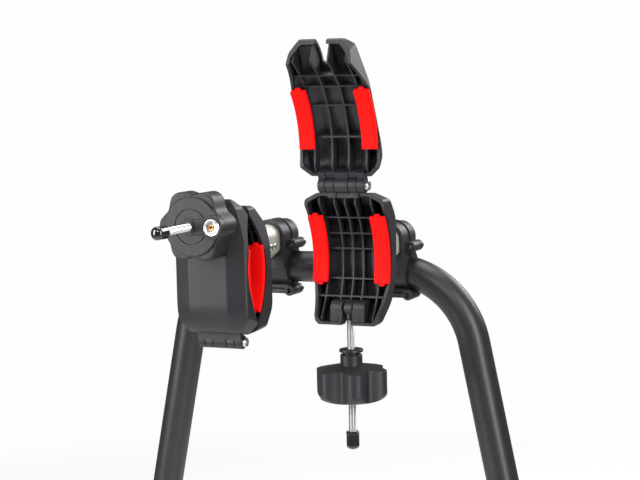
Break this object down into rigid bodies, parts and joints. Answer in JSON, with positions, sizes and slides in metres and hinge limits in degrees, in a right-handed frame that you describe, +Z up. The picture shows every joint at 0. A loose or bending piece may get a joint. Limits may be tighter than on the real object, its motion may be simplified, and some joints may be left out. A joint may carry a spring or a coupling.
{
  "type": "bicycle frame holder hoop",
  "caption": "Bent tube hoop with bolted feet carrying clamp-on frame holders: hinged padded jaws on arms, closed by a swivel bolt and star knob, with a key lock.",
  "frame": {"origin": "midway between the two feet, on the surface that they are bolted to", "axes": "+X along the top tube to the right, -Y towards the user, +Z up"},
  "size_m": [0.6116, 0.3175, 0.7709],
  "materials": {
    "powder_coat": "satin powder coat",
    "moulded_plastic": "satin glass-filled nylon",
    "gloss_cap": "glossy vinyl",
    "red_rubber": "matte rubber",
    "zinc_steel": "bright zinc plate",
    "lock_nickel": "satin nickel",
    "arm_aluminium": "satin anodised"
  },
  "bodies": {
    "hoop": {"hoop_tube": "powder_coat", "left_foot_plate": "powder_coat", "right_foot_plate": "powder_coat", "left_collar_front": "moulded_plastic", "left_collar_back": "moulded_plastic", "left_collar_screw_upper_a": "zinc_steel", "left_collar_screw_upper_b": "zinc_steel", "left_collar_screw_lower_a": "zinc_steel", "left_collar_screw_lower_b": "zinc_steel", "left_arm": "arm_aluminium", "left_arm_screw_rear_a": "zinc_steel", "left_arm_screw_rear_b": "zinc_steel", "left_arm_screw_front_a": "zinc_steel", "left_arm_screw_front_b": "zinc_steel", "left_inner_shell": "moulded_plastic", "left_inner_pad_a": "red_rubber", "left_inner_pad_b": "red_rubber", "left_hinge_screw": "zinc_steel", "left_bolt_pin": "zinc_steel", "left_cover": "moulded_plastic", "left_cover_pad_a": "red_rubber", "left_cover_pad_b": "red_rubber", "right_collar_front": "moulded_plastic", "right_collar_back": "moulded_plastic", "right_collar_screw_upper_a": "zinc_steel", "right_collar_screw_upper_b": "zinc_steel", "right_collar_screw_lower_a": "zinc_steel", "right_collar_screw_lower_b": "zinc_steel", "right_arm": "arm_aluminium", "right_arm_screw_rear_a": "zinc_steel", "right_arm_screw_rear_b": "zinc_steel", "right_arm_screw_front_a": "zinc_steel", "right_arm_screw_front_b": "zinc_steel", "right_inner_shell": "moulded_plastic", "right_inner_pad_a": "red_rubber", "right_inner_pad_b": "red_rubber", "right_hinge_screw": "zinc_steel", "right_bolt_pin": "zinc_steel"},
    "right_cover": {"right_cover": "moulded_plastic", "right_cover_pad_a": "red_rubber", "right_cover_pad_b": "red_rubber"},
    "right_bolt": {"right_swivel_bolt": "zinc_steel", "right_bolt_cap": "gloss_cap"},
    "right_washer": {"right_thrust_washer": "moulded_plastic"},
    "right_knob": {"right_knob": "moulded_plastic"},
    "left_bolt": {"left_swivel_bolt": "zinc_steel", "left_bolt_cap": "gloss_cap"},
    "left_washer": {"left_thrust_washer": "moulded_plastic"},
    "left_knob": {"left_knob": "moulded_plastic"},
    "left_lock": {"left_lock_barrel": "lock_nickel"}
  },
  "joints": [
    {"name": "right_cover_hinge", "type": "hinge", "parent": "hoop", "child": "right_cover", "pos_m": [0.086, -0.147, 0.6235], "axis": [1, 0, 0], "range_deg": [-15, 154]},
    {"name": "right_bolt_swing", "type": "hinge", "parent": "hoop", "child": "right_bolt", "pos_m": [0.086, -0.134, 0.4955], "axis": [-1, 0, 0], "range_deg": [-12, 90]},
    {"name": "right_knob_travel", "type": "slide", "parent": "right_bolt", "child": "right_washer", "axis": [0, 0, -1], "range_m": [0, 0.0301]},
    {"name": "right_knob_spin", "type": "hinge", "parent": "right_washer", "child": "right_knob", "pos_m": [0.086, -0.134, 0.4355], "axis": [0, 0, -1], "range_deg": [0, 8640]},
    {"name": "left_bolt_swing", "type": "hinge", "parent": "hoop", "child": "left_bolt", "pos_m": [-0.057, -0.134, 0.5845], "axis": [-1, 0, 0], "range_deg": [0, 100]},
    {"name": "left_knob_travel", "type": "slide", "parent": "left_bolt", "child": "left_washer", "axis": [0, -1, 0], "range_m": [0, 0.0301]},
    {"name": "left_knob_spin", "type": "hinge", "parent": "left_washer", "child": "left_knob", "pos_m": [-0.057, -0.194, 0.5845], "axis": [0, -1, 0], "range_deg": [0, 8640]},
    {"name": "left_lock_turn", "type": "hinge", "parent": "left_knob", "child": "left_lock", "pos_m": [-0.031, -0.204, 0.5845], "axis": [0, -1, 0], "range_deg": [0, 90]}
  ],
  "couplings": [
    {"joint": "right_knob_travel", "follows": "right_knob_spin", "m_per_rad": 0.00019894},
    {"joint": "left_knob_travel", "follows": "left_knob_spin", "m_per_rad": 0.00019894}
  ]
}
